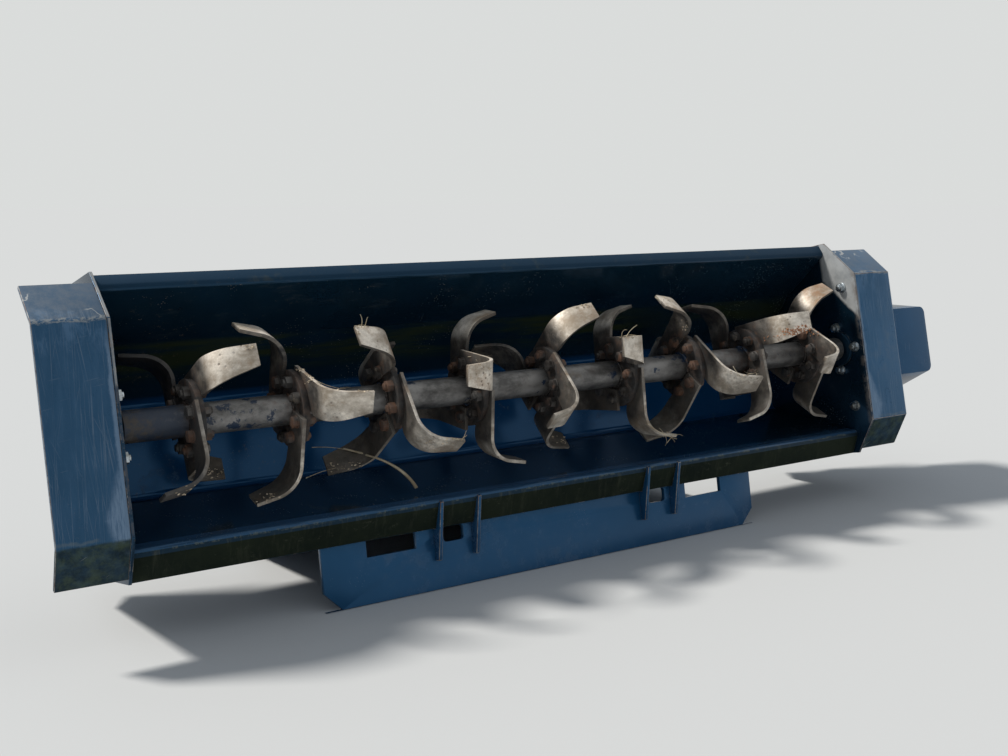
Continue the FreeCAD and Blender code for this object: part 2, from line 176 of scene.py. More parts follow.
# The inside's colours: the coat's navy raised as a painted sky reflection.
hood_deep = (0.0038, 0.0155, 0.028, 1)
hood_bright = (0.0062, 0.0245, 0.0445, 1)
back_sky_reflection = (0.004, 0.053, 0.155, 1)
slant_grass_reflection = (0.034, 0.043, 0.014, 1)
stain_brown = (0.05, 0.03, 0.017, 1)
rim_navy = (0.006, 0.019, 0.036, 1)
nose_sky_highlight = (0.029, 0.073, 0.14, 1)
lip_painted_shade = (0.0035, 0.0055, 0.003, 1)
lip_dust = (0.12, 0.125, 0.085, 1)
swept_soil = (0.15, 0.115, 0.08, 1)
weather_grey = (0.12, 0.115, 0.1, 1)
lip_shade_dark = (0.006, 0.011, 0.008, 1)
lip_grass_reflection = (0.014, 0.02, 0.012, 1)


class Tone:
    """A shader socket that Python's operators can be used on."""

    def __init__(self, finish, socket):
        self.finish = finish
        self.socket = socket

    def maths(self, operation, first, second=0.0):
        return self.finish.node("ShaderNodeMath", {"operation": operation}, {0: first, 1: second})

    def __add__(self, other):
        return self.maths("ADD", self, other)

    def __sub__(self, other):
        return self.maths("SUBTRACT", self, other)

    def __rsub__(self, other):
        return self.maths("SUBTRACT", other, self)

    def __mul__(self, other):
        return self.maths("MULTIPLY", self, other)

    def __abs__(self):
        return self.maths("ABSOLUTE", self)

    def most(self, other):
        return self.maths("MAXIMUM", self, other)

    def least(self, other):
        return self.maths("MINIMUM", self, other)

    def rise(self, low, high):
        """0 below low and 1 above high, or the other way round when low is the larger."""
        return self.finish.node("ShaderNodeMapRange", {"interpolation_type": "SMOOTHSTEP"},
                                {0: self, 1: low, 2: high})

    def band(self, middle, half, soft):
        """1 within half of the middle, and 0 from soft further out."""
        return abs(self - middle).rise(half + soft, half)

    __radd__ = __add__
    __rmul__ = __mul__


class Finish:
    """A material of the tiller, with its nodes and its place on the tiller as it is drawn."""

    def __init__(self, name, **shader):
        self.material = bpy.data.materials.new(name)
        self.material.use_nodes = True
        self.tree = self.material.node_tree
        self.shader = self.tree.nodes["Principled BSDF"]
        for socket, value in shader.items():
            self.shader.inputs[socket.replace("_", " ")].default_value = value
        here = self.node("ShaderNodeTexCoord", out="Object")
        turned_axis = Matrix.Rotation(lean, 3, "X") @ Vector((0, rotor_axis.y, rotor_axis.z))
        shift = (-middle_x, axis_depth - turned_axis.y, axis_run - turned_axis.z)
        self.drawn = self.node("ShaderNodeMapping", {}, {
            "Vector": here, "Location": shift, "Rotation": (lean, 0, 0)})
        self.x = self.node("ShaderNodeSeparateXYZ", {}, {0: self.drawn}, out="X")
        self.depth = self.node("ShaderNodeSeparateXYZ", {}, {0: self.drawn}, out="Y")
        self.run = self.node("ShaderNodeSeparateXYZ", {}, {0: self.drawn}, out="Z")
        faces = self.node("ShaderNodeTexCoord", out="Normal")
        self.faces = self.node("ShaderNodeMapping", {"vector_type": "VECTOR"}, {
            "Vector": faces, "Rotation": (lean, 0, 0)})

    def node(self, kind, settings=None, values=None, out=0):
        made = self.tree.nodes.new(kind)
        for key, value in (settings or {}).items():
            setattr(made, key, value)
        for key, value in (values or {}).items():
            if isinstance(value, Tone):
                self.tree.links.new(value.socket, made.inputs[key])
            else:
                made.inputs[key].default_value = value
        return Tone(self, made.outputs[out])

    def noise(self, scale, detail=3.0, rough=0.55, stretch=(1, 1, 1), shift=(0, 0, 0)):
        where = self.node("ShaderNodeMapping", {}, {
            "Vector": self.drawn, "Location": shift, "Scale": stretch})
        return self.node("ShaderNodeTexNoise", {}, {
            "Vector": where, "Scale": scale, "Detail": detail, "Roughness": rough})

    def spots(self, scale):
        return self.node("ShaderNodeTexVoronoi", {}, {"Vector": self.drawn, "Scale": scale}, out="Distance")

    def hairlines(self, turn, across, along, cut, seed):
        """Fine straight scratches, turned from the run in degrees."""
        where = self.node("ShaderNodeMapping", {"vector_type": "TEXTURE"}, {
            "Vector": self.drawn, "Location": (seed, 0, seed), "Rotation": (0, math.radians(turn), 0),
            "Scale": (1 / across, 1.0, 1 / along)})
        lines = self.node("ShaderNodeTexNoise", {}, {
            "Vector": where, "Scale": 1.0, "Detail": 1.5, "Roughness": 0.6})
        return lines.rise(cut, cut + 0.025)

    def from_axis(self):
        """The vector from the rotor's axis, straight out to the surface."""
        return self.node("ShaderNodeCombineXYZ", {}, {1: self.depth - axis_depth, 2: self.run - axis_run})

    def reach(self):
        """How far the surface stands from the rotor's axis."""
        return self.node("ShaderNodeVectorMath", {"operation": "LENGTH"}, {0: self.from_axis()}, out="Value")

    def faces_out(self):
        """1 where the surface faces away from the rotor's axis, and -1 where it faces the axis."""
        out_way = self.node("ShaderNodeVectorMath", {"operation": "NORMALIZE"}, {0: self.from_axis()})
        return self.node("ShaderNodeVectorMath", {"operation": "DOT_PRODUCT"},
                         {0: self.faces, 1: out_way}, out="Value")

    def mix(self, share, low, high):
        return self.node("ShaderNodeMix", {"data_type": "RGBA"}, {0: share, 6: low, 7: high}, out=2)

    def lay(self, share, colour):
        """A film of another colour over the tone so far, as thick as its share."""
        self.tone = self.mix(share, self.tone, colour)

    def bump(self, height, distance, strength):
        return self.node("ShaderNodeBump", {}, {
            "Height": height, "Distance": distance, "Strength": strength})

    def use(self, **sockets):
        for socket, value in sockets.items():
            self.tree.links.new(value.socket, self.shader.inputs[socket.replace("_", " ")])
        return self.material

    def laid(self, distance, strength, **sockets):
        """The material with its tone, its roughness and a bump from its height joined up."""
        return self.use(Base_Color=self.tone, Roughness=self.rough,
                        Normal=self.bump(self.height, distance, strength), **sockets)


def edged_copy(node, name, edge_break, finish, edge_finish=None):
    """A copy of a bare CAD piece with merged corners, whose sharp edges are broken as on a real one."""
    bpy.ops.object.select_all(action="DESELECT")
    source = frame["nodes"][node]
    source.select_set(True)
    bpy.context.view_layer.objects.active = source
    bpy.ops.object.duplicate()
    piece = bpy.context.object
    piece.name = name
    piece.data.name = name
    for key in list(piece.keys()):
        if key.startswith("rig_"):
            del piece[key]
    piece.parent = None
    piece.matrix_world = Matrix.Identity(4)
    bpy.ops.object.mode_set(mode="EDIT")
    bpy.ops.mesh.select_all(action="SELECT")
    bpy.ops.mesh.remove_doubles(threshold=0.00002)
    bpy.ops.mesh.dissolve_limited(angle_limit=math.radians(0.5))
    bpy.ops.object.mode_set(mode="OBJECT")
    piece.data.materials.clear()
    piece.data.materials.append(finish)
    edge = piece.modifiers.new("edge", "BEVEL")
    edge.width = edge_break
    edge.segments = 2
    edge.limit_method = "ANGLE"
    edge.angle_limit = math.radians(30)
    edge.miter_outer = "MITER_ARC"
    if edge_finish is not None:
        piece.data.materials.append(edge_finish)
        edge.material = 1
    bpy.ops.object.modifier_apply(modifier="edge")
    bpy.ops.object.shade_smooth_by_angle(angle=math.radians(35))
    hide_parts(node)
    return piece


def black_coat(name, dust=0.25, specks=0.0, gloss=0.16, deep=deep_black, bright=bright_black):
    """Black powder coat: a navy cast painted in as a sky reflection, dust that gathers in smears, and soil specks.
    """
    coat = Finish(name, Specular_Tint=coat_tint, IOR=coat_ior)
    broad = coat.noise(3.1, 6, 0.62)
    fine = coat.noise(38, 5, 0.6)
    grain = coat.noise(420, 2, 0.5)
    smear = broad.rise(0.5, 0.8) * fine.rise(0.38, 0.72) * dust
    coat.tone = coat.mix(broad.rise(0.3, 0.7), deep, bright)
    coat.lay(smear, grey_dust)
    coat.rough = gloss + fine * 0.08 + smear * 0.5
    coat.height = fine * 0.6 + grain * 0.1 + broad * 4
    if specks:
        few = coat.noise(11, 3, 0.6).rise(0.53, 0.64)
        soil = coat.spots(170.0).rise(0.2, 0.08) * few * specks
        coat.lay(soil, dry_soil)
        coat.rough = coat.rough + soil * 0.5
        coat.height = coat.height + soil * 2
    return coat


def chipped_edge(name, chips):
    """The broken edge of a coated sheet, with the coat rubbed through in places."""
    edge = Finish(name, Specular_Tint=coat_tint, IOR=coat_ior)
    cut = 0.66 - chips * 0.3
    chipped = edge.noise(34, 6, 0.7).rise(cut, cut + 0.04)
    bare = edge.mix(edge.noise(60, 4, 0.6).rise(0.4, 0.65), (0.3, 0.28, 0.25, 1), (0.14, 0.085, 0.05, 1))
    return edge.use(Base_Color=edge.mix(chipped, (0.012, 0.03, 0.05, 1), bare),
                    Roughness=0.3 + chipped * 0.25, Metallic=chipped * 0.35)


coat = black_coat("hood_black_coat", dust=0.1, specks=1.0, gloss=0.12, deep=hood_deep, bright=hood_bright)
inside = coat.faces_out().rise(0.15, -0.15)
back_panel = inside * coat.depth.rise(back_panel_depth - 0.005, back_panel_depth + 0.005)
rim = coat.run.rise(rim_run - 0.0015, rim_run + 0.003)
rear_lip = coat.run.rise(lip_run + 0.0005, lip_run - 0.0005)
outside = ((1 - inside) - rim - rear_lip).most(0.0)
# The back panel inside is painted blue as a reflection of the sky.
coat.lay(back_panel * 0.8, back_sky_reflection)
# The slant panel inside gets olive patches as a painted reflection of sunlit grass.
slant_panel = inside * coat.run.band(slant_panel_run, 0.05, 0.012) * coat.run.rise(0.27, 0.31)
coat.lay(slant_panel * coat.noise(7, 6, 0.66, (0.35, 3, 3)).rise(0.4, 0.6) * 0.85, slant_grass_reflection)
top_smear = inside * coat.run.rise(0.35, 0.37) * coat.noise(12, 7, 0.72, (0.7, 2, 2)).rise(0.56, 0.74) * 0.12
coat.lay(top_smear, grey_dust)
back_stain = back_panel * coat.noise(6.5, 7, 0.7, (1, 1, 1), (3.3, 0, 0)).rise(0.6, 0.68) * 0.4
coat.lay(back_stain, stain_brown)
coat.lay(rim * 0.75, rim_navy)
rim_dust = rim * coat.noise(19, 6, 0.68).rise(0.56, 0.72) * 0.25
# A painted highlight: the rear lip's rounded bend is painted blue as the sky reflecting in it.
nose_side = inside.most(coat.depth.rise(0.062, 0.058)) * coat.depth.rise(0.083, 0.079)
coat.lay(nose_side * coat.run.band(nose_run, 0.0145, 0.001) * 0.85, nose_sky_highlight)
# The rear lip is painted near-black as shade.
coat.lay(rear_lip * 0.95, lip_painted_shade)
drips = rear_lip * coat.noise(55, 7, 0.78, (1, 0.16, 0.16)).rise(0.5, 0.72) * 0.4
nose_chips = coat.run.band(lip_run, 0.0015, 0.002) * coat.noise(48, 6, 0.75).rise(0.5, 0.6) * 0.6
coat.lay((rim_dust.most(drips)).most(nose_chips), lip_dust)
near_tines = (coat.x.band(-0.8, 0.035, 0.07)).most(coat.x.band(-0.6, 0.03, 0.06) * 0.7)
flicked = coat.noise(85, 8, 0.8).rise(0.56, 0.64) * coat.noise(13, 4, 0.6).rise(0.46, 0.6)
coat.lay(inside * near_tines * flicked * 0.55, swept_soil)
coat.lay(outside * 0.9, outer_black)
outer_dust = outside * coat.noise(7, 8, 0.72, (0.6, 1.5, 1.5)).rise(0.5, 0.75) * 0.22
coat.lay(outer_dust, weather_grey)
coat.rough = coat.rough + outside * 0.06 + outer_dust + (top_smear + back_stain + rim_dust + drips) * 0.5
coat.rough = coat.rough + rear_lip * 0.45 + rim * 0.58
hood = edged_copy("hood_shell", "hood", hood_edge_break, coat.laid(coat_bump, 0.3),
                  chipped_edge("hood_edge", 0.35))

# Front face of the hood's rear lip: it is painted near-black as shade, with a green cast that is a
# painted reflection of grass, and faint drips and specks of dust lie over it.
film = Finish("lip_painted_shade_and_dust", Roughness=0.85, Specular_IOR_Level=0.12)
film_drips = film.noise(55, 7, 0.78, (1, 0.16, 0.16)).rise(0.5, 0.76) * 0.22
film_specks = film.noise(60, 9, 0.85, (0.6, 1, 1)).rise(0.56, 0.68) * 0.35
film.tone = film.mix(film.noise(6, 6, 0.7).rise(0.35, 0.65), lip_shade_dark, lip_grass_reflection)
film.lay(film_drips.most(film_specks), lip_dust)
hood.data.materials.append(film.use(Base_Color=film.tone))
for face in hood.data.polygons:
    run = (face.center - rotor_axis).dot(along_skid) + axis_run
    if run < lip_run - 0.008 and face.normal.dot(along_skid) < -0.3 and face.material_index == 0:
        face.material_index = 2
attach(hood, "housing")

# Side plates: flat plates that close the hood's ends and stand a little proud of the skids. Their
# edges have worn where they meet the ground, and dust lies on the front corner inside, painted pale there as a
# patch of sunlight.
plate_edge_break = 0.001
plate_dust_and_sunlight = (0.46, 0.455, 0.43, 1)
ground_rub = (0.17, 0.135, 0.1, 1)
for side, inward, chips in (("left", 1, 0.45), ("right", -1, 0.85)):
    coat = black_coat("side_plate_black_coat_" + side, dust=0.2, specks=0.8, gloss=0.2)
    inner_face = (coat.node("ShaderNodeSeparateXYZ", {}, {0: coat.faces}, out="X") * inward).rise(-0.6, 0.2)
    # Dust on the inner front corner, painted much paler as a patch of sunlight.
    sunlit_dust_depth = (coat.run * 0.95 - 0.262 + coat.noise(26, 5, 0.7) * 0.016).least(0.1)
    front_corner = inner_face * (coat.depth - sunlit_dust_depth).rise(0.008, -0.004)
    dust_and_sunlight = (front_corner * (coat.noise(21, 7, 0.72).rise(0.2, 0.75) * 0.4 + 0.5)).least(0.85)
    low_rub = coat.depth.rise(0.016, 0.0) * coat.noise(40, 6, 0.7).rise(0.42, 0.6) * (chips * 0.8)
    coat.lay(dust_and_sunlight, plate_dust_and_sunlight)
    coat.lay(low_rub, ground_rub)
    coat.rough = coat.rough + dust_and_sunlight * 0.4 + low_rub * 0.3
    plate = edged_copy("side_plate_" + side, "end_plate_" + side, plate_edge_break,
                       coat.laid(coat_bump, 0.3), chipped_edge("side_plate_edge_" + side, chips))
    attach(plate, "housing")

# Skids: the left one is a bent plate on two ribs, and the right one is the front of the drive case.
# They slide on the ground, so hairline scratches and a bright rub run along them.
skid_edge_break = 0.001
high_fold_run = 0.3905
low_fold_run = 0.0165
# The skids' navy is a painted sky reflection on the black coat; the drive case's is painted brighter still.
skid_deep = (0.0175, 0.05, 0.093)
skid_bright = (0.0245, 0.068, 0.126)
haze_blue = (0.12, 0.21, 0.33, 1)
scratch_grey = (0.26, 0.31, 0.36, 1)
rub_blue = (0.22, 0.3, 0.4, 1)
fold_grey = (0.36, 0.35, 0.31, 1)
ramp_grey = (0.2, 0.2, 0.195, 1)
scuff_grey = (0.5, 0.49, 0.45, 1)
ramp_near_black = (0.004, 0.0065, 0.002, 1)
ramp_grass_reflection = (0.04, 0.052, 0.019, 1)
skid_edge = chipped_edge("skid_edge", 1.0)
for node, name, inner, outer, sky_sheen_gain in (
    ("left_skid", "skid_plate", -0.946, -1.07, 1.08),
    ("left_skid_ribs", "skid_ribs", -0.946, -1.07, 1.08),
    ("drive_case", "drive_case_cover", 0.946, 1.083, 1.5),
):
    coat = black_coat(name + "_black_coat", dust=0.3, specks=0.25, gloss=0.24,
                      deep=(*(sky_sheen_gain * part for part in skid_deep), 1),
                      bright=(*(sky_sheen_gain * part for part in skid_bright), 1))
    coat.lay(coat.depth.rise(0.075, 0.11) * 0.85, outer_black)
    front_face = coat.depth.rise(0.03, 0.012)
    from_inner = abs(coat.x - inner)
    from_outer = abs(coat.x - outer)
    patchy = coat.noise(13, 5, 0.6).rise(0.4, 0.62)
    lines = coat.hairlines(3, 460, 3, 0.6, 3.1).most(coat.hairlines(-6, 420, 4, 0.63, 7.7))
    lines = lines.most(coat.hairlines(15, 380, 7, 0.67, 1.3)).most(coat.hairlines(-22, 380, 8, 0.69, 9.2))
    lines = lines.most(coat.hairlines(80, 330, 14, 0.7, 5.9) * 0.8)
    lines = lines * (patchy * 0.7 + 0.3) * front_face
    low_haze = coat.noise(24, 6, 0.7, (2.6, 1, 0.5)).rise(0.42, 0.75) * front_face * 0.14
    high_haze = coat.run.rise(0.29, 0.372) * coat.noise(18, 6, 0.7, (1.6, 1, 0.7)).rise(0.46, 0.64)
    haze = low_haze.most(high_haze * front_face * 0.5)
    wobble = coat.noise(16, 5, 0.65, (1, 1, 1.4)) * 0.016
    inner_rub = (from_inner + wobble).rise(0.018, 0.0125) * coat.run.rise(0.37, 0.3) * front_face * 0.85
    wedge_width = 0.052 - abs(coat.run - 0.035) * 0.36
    corner_rub = (from_inner - wedge_width + wobble * 1.5).rise(0.006, -0.012) * coat.run.rise(0.2, 0.13)
    brushed = coat.noise(120, 5, 0.7, (3, 1, 0.25)).rise(0.3, 0.62) * 0.75 + 0.3
    corner_rub = corner_rub * front_face * brushed
    outer_rub = (from_outer + wobble * 0.4).rise(0.007, 0.004) * coat.run.band(0.2, 0.16, 0.05) * 0.3
    coat.lay(haze, haze_blue)
    coat.lay(lines * 0.24, scratch_grey)
    coat.lay((inner_rub.most(corner_rub)).most(outer_rub) * 0.75, rub_blue)
    fold = coat.run + coat.noise(22, 6, 0.7) * 0.022
    fold_wear = coat.noise(65, 6, 0.75, (1, 1, 2)).rise(0.42, 0.56)
    fold_scuff = fold.band(high_fold_run, 0.0025, 0.0035) * fold_wear
    coat.lay(fold_scuff * 0.65, fold_grey)
    high_ramp = coat.run.rise(0.377, 0.386)
    ramp_dust = high_ramp * (coat.noise(48, 10, 0.8).rise(0.38, 0.64) * 0.3 + 0.16)
    scuff_lines = coat.noise(19, 3, 0.5).band(0.5, 0.008, 0.008)
    scuffs = high_ramp * scuff_lines * coat.noise(9, 3, 0.6).rise(0.52, 0.6)
    coat.lay(ramp_dust, ramp_grey)
    coat.lay(scuffs * 0.7, scuff_grey)
    # The low ramp is darkened to near-black, with olive patches that are a painted reflection of grass.
    low_ramp = (coat.run + coat.noise(30, 5, 0.7) * 0.012).rise(0.008, 0.002)
    ramp_darkening = low_ramp * (coat.noise(26, 7, 0.74).rise(0.35, 0.62) * 0.25 + 0.75)
    coat.lay(ramp_darkening, coat.mix(coat.noise(34, 7, 0.76).rise(0.4, 0.66), ramp_near_black, ramp_grass_reflection))
    coat.lay(fold.band(low_fold_run, 0.001, 0.003) * patchy * 0.35, (0.2, 0.2, 0.15, 1))
    coat.lay(low_ramp * coat.hairlines(62, 210, 14, 0.7, 2.2) * 0.5, (0.28, 0.3, 0.28, 1))
    coat.rough = coat.rough + haze * 0.4 + ramp_dust * 0.5 + ramp_darkening * 0.5 + lines * 0.1
    coat.height = coat.height - lines * 1.2 - fold_scuff * 1.5
    piece = edged_copy(node, name, skid_edge_break, coat.laid(coat_bump, 0.35), skid_edge)
    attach(piece, "housing")

# Motor guard and attach plate: a folded box over the motor, and the plate that the loader hooks on,
# with its ribs and the gussets of its ledge. All are flame-cut plate, welded and then coated.
cut_edge_break = 0.0012
# Their blue is a painted sky reflection on the black coat.
cut_deep = (0.0095, 0.052, 0.115, 1)
cut_bright = (0.0145, 0.07, 0.155, 1)
for node, name, chips, dust, scratches in (
    ("motor_guard", "guard_box", 0.6, 0.08, 0.3),
    ("attach_plate", "loader_plate", 0.7, 0.4, 0.05),
    ("hitch_ribs", "plate_ribs", 0.4, 0.4, 0.03),
    ("ledge_gussets", "lip_gussets", 0.8, 0.5, 0.03),
):
    coat = black_coat(name + "_black_coat", dust=dust, specks=0.3, gloss=0.2,
                      deep=cut_deep, bright=cut_bright)
    coat.lay(coat.depth.rise(0.106, 0.13) * 0.85, outer_black)
    lines = coat.hairlines(6, 300, 9, 0.71, 4.4).most(coat.hairlines(80, 260, 11, 0.72, 8.1)) * scratches
    coat.lay(lines, (0.28, 0.32, 0.36, 1))
    coat.rough = coat.rough + lines * 0.3
    piece = edged_copy(node, name, cut_edge_break, coat.laid(coat_bump, 0.3),
                       chipped_edge(name + "_edge", chips))
    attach(piece, "housing")

# Bearings and motor: black castings outside the end plates, and an orbital motor inside its guard.
# Their paint is duller and rougher than the powder coat of the plates.
casting_edge_break = 0.0008
casting_bump = 0.0008
for node, name, slot in (
    ("bearing_left", "bearing_housing_left", "cast_bearing"),
    ("bearing_right", "bearing_housing_right", "cast_bearing"),
    ("hydraulic_motor", "drive_motor", "motor_paint"),
):
    casting = black_coat(name + "_paint", dust=0.25, gloss=0.32)
    piece = edged_copy(node, name, casting_edge_break, casting.laid(casting_bump, 0.5))
    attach(piece, "housing")

# Rotor: a steel tube with a welded flange for each set of tines. Its blue-black paint has mostly
# worn off in the soil, down to grey steel with brown stains, and is kept only at its left end.
rotor_edge_break = 0.0008
steel_bump = 0.0012
kept_paint_x = -0.79
tube_radius = 0.03
rust_brown = (0.12, 0.05, 0.022, 1)
old_paint = (0.008, 0.022, 0.05, 1)
tube_pale = (0.25, 0.245, 0.24, 1)
tube_dark = (0.085, 0.083, 0.082, 1)
left_blue = (0.007, 0.02, 0.045, 1)
left_brown = (0.05, 0.04, 0.032, 1)
flange_black = (0.012, 0.0105, 0.01, 1)
flange_brown = (0.045, 0.026, 0.017, 1)


def worn_steel(name, pale, dark, paint=0.0, rust=0.3):
    """Steel polished and stained by soil, with rust, dry earth and scraps of old paint."""
    steel = Finish(name)
    broad = steel.noise(9, 6, 0.62)
    steel.fine = steel.noise(70, 6, 0.65)
    steel.tone = steel.mix(steel.noise(15, 6, 0.68, (0.8, 1.4, 1.4)).rise(0.34, 0.64), dark, pale)
    rusty = broad.rise(0.5, 0.68) * steel.fine.rise(0.4, 0.62) * rust
    steel.lay(rusty, rust_brown)
    cut = 0.62 - paint * 0.2
    left_over = steel.noise(11, 7, 0.72).rise(cut, cut + 0.02)
    steel.lay(left_over, old_paint)
    soil = steel.noise(33, 7, 0.7).rise(0.56, 0.72)
    steel.lay(soil * 0.45, dry_soil)
    steel.rough = 0.4 + steel.fine * 0.22 + soil * 0.2 - left_over * 0.12
    steel.height = steel.fine + soil * 0.8 + broad * 0.6
    steel.bare = (0.85 - rusty * 0.6 - soil * 0.55 - left_over * 0.8).most(0.0)
    return steel


tube = worn_steel("worn_tube_steel", tube_pale, tube_dark, paint=0.2, rust=0.35)
near_left = tube.x.rise(kept_paint_x, kept_paint_x - 0.04)
near_left = near_left * (tube.noise(19, 7, 0.75).rise(0.64, 0.56) * 0.3 + 0.62)
tube.lay(near_left, tube.mix(tube.noise(26, 8, 0.75).rise(0.46, 0.6), left_blue, left_brown))
# The flanges are painted near-black and brown: soil grime, and painted shade as well.
on_flange = tube.reach().rise(tube_radius + 0.002, tube_radius + 0.006)
flange_grime_and_shade = on_flange * (tube.noise(28, 6, 0.7).rise(0.3, 0.6) * 0.25 + 0.72)
tube.lay(flange_grime_and_shade, tube.mix(tube.noise(42, 5, 0.7).rise(0.45, 0.62), flange_black, flange_brown))
tube.rough = tube.rough + flange_grime_and_shade * 0.25
tube_bare = (tube.bare - near_left * 0.8 - flange_grime_and_shade * 0.7).most(0.0)
tube_finish = tube.laid(steel_bump, 0.45, Metallic=tube_bare)
for node, name, slot in (
    ("rotor_tube", "rotor_pipe", "worn_steel"),
    ("stub_shafts", "end_shafts", "bare_steel"),
    ("rotor_flanges", "tine_flanges", "worn_steel"),
):
    piece = edged_copy(node, name, rotor_edge_break, tube_finish)
    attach(piece, "rotor")

# Weld beads: a fillet weld runs round the tube on both faces of every flange. One rippled ring is
# made and copied.
flange_gap = 0.1984
middle_flange_x = -0.0044
flange_places = [(index - 4) * flange_gap + middle_flange_x for index in range(9)]
half_flange = 0.006
bead_ring = 0.0305
bead_size = 0.0038
ripples = 26


def copied(pattern, name, moves):
    """Copies of a pattern under the given moves, joined into one piece that has its own mesh."""
    made = []
    for move in moves:
        bpy.ops.object.select_all(action="DESELECT")
        pattern.select_set(True)
        bpy.context.view_layer.objects.active = pattern
        bpy.ops.object.duplicate()
        copy = bpy.context.object
        copy.matrix_world = move
        bpy.ops.object.transform_apply(location=True, rotation=True, scale=True)
        made.append(copy)
    bpy.ops.object.select_all(action="DESELECT")
    for copy in made:
        copy.select_set(True)
    bpy.context.view_layer.objects.active = made[0]
    if len(made) > 1:
        bpy.ops.object.join()
    piece = bpy.context.object
    piece.name = name
    piece.data.name = name
    return piece


def discard(pattern):
    bpy.ops.object.select_all(action="DESELECT")
    pattern.select_set(True)
    bpy.context.view_layer.objects.active = pattern
    bpy.ops.object.delete()


def outward(angle):
    """The unit vector out from the rotor's axis at an angle in degrees, 0 out of the hood and 90
    towards its front."""
    turn = math.radians(angle)
    return along_skid * math.sin(turn) - into_hood * math.cos(turn)


def facing(spot, angle=0.0):
    """The move that takes a pattern at the origin to a spot and turns its y out at an angle."""
    out = outward(angle)
    side = Vector((1, 0, 0))
    turned = Matrix((side, out, side.cross(out))).transposed().to_4x4()
    return Matrix.Translation(spot) @ turned


bpy.ops.object.select_all(action="DESELECT")
bpy.ops.mesh.primitive_torus_add(major_radius=bead_ring, minor_radius=bead_size, major_segments=156,
                                 minor_segments=8, rotation=(0, math.pi / 2, 0))
bead = bpy.context.object
bpy.ops.object.transform_apply(location=True, rotation=True, scale=True)
bead_rng = random.Random(5)
swell = [bead_rng.uniform(0.7, 1.35) for ripple in range(ripples)]
for vertex in bead.data.vertices:
    turn = (math.atan2(vertex.co.z, vertex.co.y) / math.tau) % 1.0 * ripples
    ring = Vector((0, vertex.co.y, vertex.co.z)).normalized() * bead_ring
    part = turn % 1.0
    grow = swell[int(turn) % ripples] * (1 - part) + swell[(int(turn) + 1) % ripples] * part
    vertex.co = ring + (vertex.co - ring) * (grow * (1.12 - 0.3 * part))
bpy.ops.object.shade_smooth_by_angle(angle=math.radians(50))
weld = worn_steel("weld_bead_steel", (0.05, 0.045, 0.042, 1), (0.02, 0.016, 0.014, 1), paint=0.3, rust=0.7)
bead.data.materials.append(weld.laid(steel_bump, 0.5, Metallic=weld.bare * 0.5))
weld_moves = []
for x in flange_places:
    for face_side in (-1, 1):
        spot = place(x + face_side * (half_flange + 0.0014), axis_depth, axis_run)
        weld_moves.append(facing(spot, 37.0 * len(weld_moves)))
welds = copied(bead, "flange_welds", weld_moves)
discard(bead)
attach(welds, "rotor")

# Tines: flat bars bolted to the flanges and bent to the side, worn bright by the soil, with dry
# earth and rust in their roots and pits at their tips.
tine_edge_break = 0.001
tine_pale = (0.9, 0.82, 0.71, 1)
tine_dark = (0.36, 0.3, 0.23, 1)
stain_tan = (0.33, 0.205, 0.11, 1)
inner_black = (0.014, 0.016, 0.019, 1)
inner_brown = (0.075, 0.062, 0.05, 1)
crust_tan = (0.23, 0.165, 0.105, 1)
pit_brown = (0.07, 0.035, 0.018, 1)
root_black = (0.014, 0.0125, 0.012, 1)
root_brown = (0.06, 0.034, 0.021, 1)
dull_grey = (0.085, 0.076, 0.064, 1)
upper_brown = (0.29, 0.215, 0.145, 1)
unworn_black = (0.02, 0.021, 0.024, 1)
fresh_rust = (0.36, 0.19, 0.09, 1)
edge_pale = (0.34, 0.32, 0.29, 1)
edge_dark = (0.1, 0.09, 0.08, 1)
edge_unworn = (0.04, 0.042, 0.048, 1)
steel = worn_steel("tine_bare_steel", tine_pale, tine_dark, paint=-1.0, rust=0.3)
reach = steel.reach()
polished = steel.faces_out().rise(0.1, 0.55)
stain = steel.noise(17, 8, 0.78).rise(0.5, 0.62) * 0.5
steel.lay(stain, stain_tan)
inner_film = (1 - polished) * (steel.noise(15, 7, 0.72, (0.6, 1.6, 1.6)).rise(0.7, 0.36) * 0.25 + 0.73)
steel.lay(inner_film, steel.mix(steel.noise(31, 9, 0.8).rise(0.42, 0.62), inner_black, inner_brown))
tip_crust = reach.rise(0.145, 0.185) * steel.noise(62, 9, 0.82).rise(0.46, 0.56) * (0.7 - polished * 0.35)
steel.lay(tip_crust, crust_tan)
pits = steel.spots(95.0).rise(0.3, 0.12) * steel.noise(21, 4, 0.6).rise(0.5, 0.6) * reach.rise(0.1, 0.15)
steel.lay(pits * 0.7, pit_brown)
root = (reach + steel.noise(30, 5, 0.7) * 0.03).rise(0.128, 0.086)
steel.lay(root * 0.93, steel.mix(steel.noise(48, 6, 0.7).rise(0.46, 0.64), root_black, root_brown))
duller = steel.run.rise(0.2, 0.15) * steel.noise(19, 7, 0.75).rise(0.3, 0.58) * 0.62
steel.lay(duller, dull_grey)
patches = steel.noise(8, 7, 0.75, (1, 1, 1), (1.7, 0, 0)).rise(0.44, 0.62)
steel.lay(steel.run.rise(0.18, 0.22) * polished * patches * 0.5, upper_brown)
steel.lay(steel.x.rise(kept_paint_x, kept_paint_x - 0.04) * 0.85, unworn_black)
last_blade = steel.x.rise(0.8, 0.82) * steel.run.rise(0.24, 0.28) * polished
steel.lay(last_blade * steel.noise(24, 7, 0.75).rise(0.36, 0.6) * 0.75, fresh_rust)
steel.rough = steel.rough + root * 0.2 + polished * 0.05
steel.height = steel.height - pits * 2.0 + tip_crust
covered = stain * 0.3 + pits * 0.4 + root * 0.4 + tip_crust * 0.3
tine_bare = (steel.bare * 0.3 - covered + inner_film * 0.2).most(0.0)
